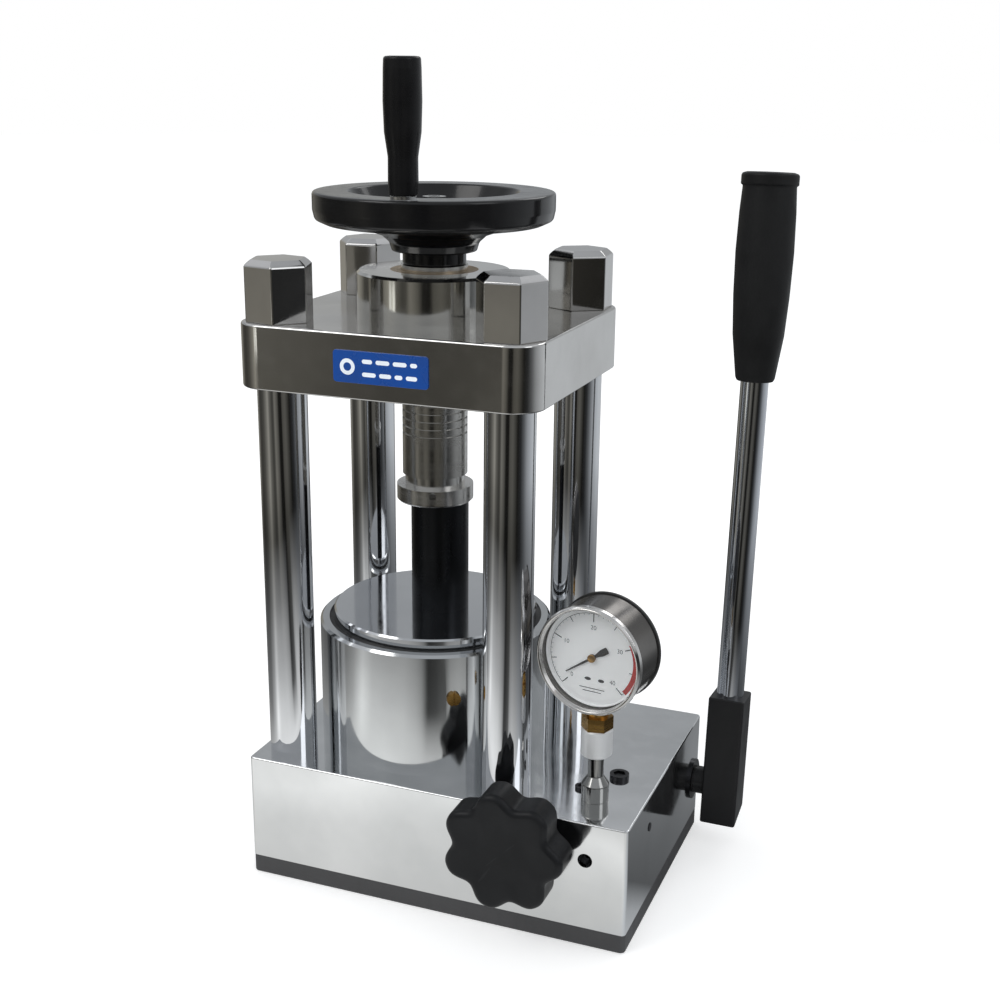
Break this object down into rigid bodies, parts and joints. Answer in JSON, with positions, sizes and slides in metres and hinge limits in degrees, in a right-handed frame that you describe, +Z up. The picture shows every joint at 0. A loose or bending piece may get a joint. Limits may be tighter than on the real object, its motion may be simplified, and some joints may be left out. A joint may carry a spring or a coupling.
{
  "type": "bench-top hydraulic tablet press",
  "caption": "Four-column bench press with hydraulic ram, screw-down pressure head, dished handwheel, pump lever, star-knob release valve and dial gauge on a steel base.",
  "frame": {"origin": "on the floor under the press axis, the centre line of the ram and the lead screw", "axes": "+Z up along the press axis, -Y towards the operator, +X towards the pump lever"},
  "size_m": [0.2748, 0.2215, 0.4727],
  "materials": {
    "base_chrome": "polished",
    "pad_rubber": "matt",
    "inner_steel": "machined",
    "black_oxide": "black oxide",
    "column_chrome": "polished",
    "nut_chrome": "polished",
    "plate_chrome": "polished",
    "housing_chrome": "polished",
    "bronze": "machined",
    "label_blue": "satin",
    "cylinder_chrome": "polished",
    "seal_rubber": "matt",
    "brass": "machined",
    "ram_chrome": "polished",
    "die_black": "blackened",
    "head_steel": "machined",
    "bright_steel": "machined",
    "screw_steel": "machined",
    "wheel_black": "gloss",
    "crank_black": "gloss",
    "knob_black": "satin",
    "coupling_chrome": "satin",
    "gauge_metal": "polished",
    "gauge_black": "satin",
    "gauge_glass": "clear",
    "dial_white": "matt",
    "needle_black": "satin",
    "lever_black": "satin",
    "lever_chrome": "polished",
    "grip_rubber": "satin"
  },
  "bodies": {
    "frame": {"base_housing": "base_chrome", "base_pad": "pad_rubber", "bottom_cover": "inner_steel", "cover_screws": "black_oxide", "column_front_left": "column_chrome", "column_front_right": "column_chrome", "column_rear_left": "column_chrome", "column_rear_right": "column_chrome", "column_tail_nuts": "inner_steel", "column_top_nuts": "nut_chrome", "top_plate": "plate_chrome", "nut_housing": "housing_chrome", "thread_bush": "bronze", "housing_screws": "black_oxide", "name_plate": "label_blue", "cylinder_body": "cylinder_chrome", "cylinder_bolts": "black_oxide", "wiper_ring": "seal_rubber", "bleed_plug": "brass", "release_gland": "bright_steel", "valve_block": "inner_steel", "block_screw": "black_oxide", "relief_screw": "black_oxide", "filler_plug": "black_oxide", "side_plug": "black_oxide", "gauge_pedestal": "bright_steel", "gauge_coupling": "coupling_chrome", "gauge_socket": "brass", "gauge_case": "gauge_metal", "gauge_back": "gauge_black", "gauge_bezel": "gauge_metal", "gauge_window": "gauge_glass", "gauge_dial": "dial_white", "gauge_tube": "brass", "shaft_bearing": "black_oxide", "pump_block": "inner_steel", "pump_screws": "black_oxide", "check_ball": "inner_steel"},
    "ram_and_die": {"ram": "ram_chrome", "ram_seals": "seal_rubber", "die_sleeve": "die_black", "die_punch": "die_black"},
    "pressure_head": {"pressure_head": "head_steel", "head_screws": "bright_steel"},
    "screw_and_wheel": {"lead_screw": "screw_steel", "handwheel": "wheel_black", "wheel_washer": "bright_steel", "wheel_screw": "bright_steel", "crank_pin": "bright_steel"},
    "crank_handle": {"crank_grip": "crank_black"},
    "valve_ball": {"release_ball": "inner_steel"},
    "valve_knob": {"release_spindle": "bright_steel", "release_knob": "knob_black"},
    "needle": {"gauge_needle": "needle_black"},
    "lever": {"pump_shaft": "lever_black", "lever_socket": "lever_black", "lever_tube": "lever_chrome", "lever_grip": "grip_rubber", "pump_arm": "inner_steel"},
    "plunger": {"pump_plunger": "inner_steel"}
  },
  "joints": [
    {"name": "ram_slide", "type": "slide", "parent": "frame", "child": "ram_and_die", "axis": [0, 0, 1], "range_m": [-0.005, 0]},
    {"name": "head_slide", "type": "slide", "parent": "frame", "child": "pressure_head", "axis": [0, 0, 1], "range_m": [0, 0.058]},
    {"name": "screw_turn", "type": "hinge", "parent": "pressure_head", "child": "screw_and_wheel", "pos_m": [0, 0, 0.2224], "axis": [0, 0, 1], "range_deg": [0, 4600]},
    {"name": "crank_spin", "type": "hinge", "parent": "screw_and_wheel", "child": "crank_handle", "pos_m": [0.00744, -0.05651, 0.4012], "axis": [0, 0, 1], "continuous": true},
    {"name": "valve_slide", "type": "slide", "parent": "frame", "child": "valve_ball", "axis": [0, -1, 0], "range_m": [0, 0.0019]},
    {"name": "valve_turn", "type": "hinge", "parent": "valve_ball", "child": "valve_knob", "pos_m": [0.085, -0.083, 0.062], "axis": [0, -1, 0], "range_deg": [0, 540]},
    {"name": "needle_turn", "type": "hinge", "parent": "frame", "child": "needle", "pos_m": [0.1205, -0.053, 0.1633], "axis": [0.1392, 0.9903, 0], "range_deg": [0, 250]},
    {"name": "lever_turn", "type": "hinge", "parent": "frame", "child": "lever", "pos_m": [0.169, 0.062, 0.038], "axis": [1, 0, 0], "range_deg": [-3, 45]},
    {"name": "plunger_slide", "type": "slide", "parent": "frame", "child": "plunger", "axis": [0, -1, 0], "range_m": [-0.0007, 0.0093]}
  ],
  "couplings": [
    {"joint": "head_slide", "follows": "screw_turn", "m_per_rad": 0.0007162},
    {"joint": "valve_slide", "follows": "valve_turn", "m_per_rad": 0.00019894},
    {"joint": "plunger_slide", "follows": "lever_turn", "m_per_rad": 0.01165}
  ]
}
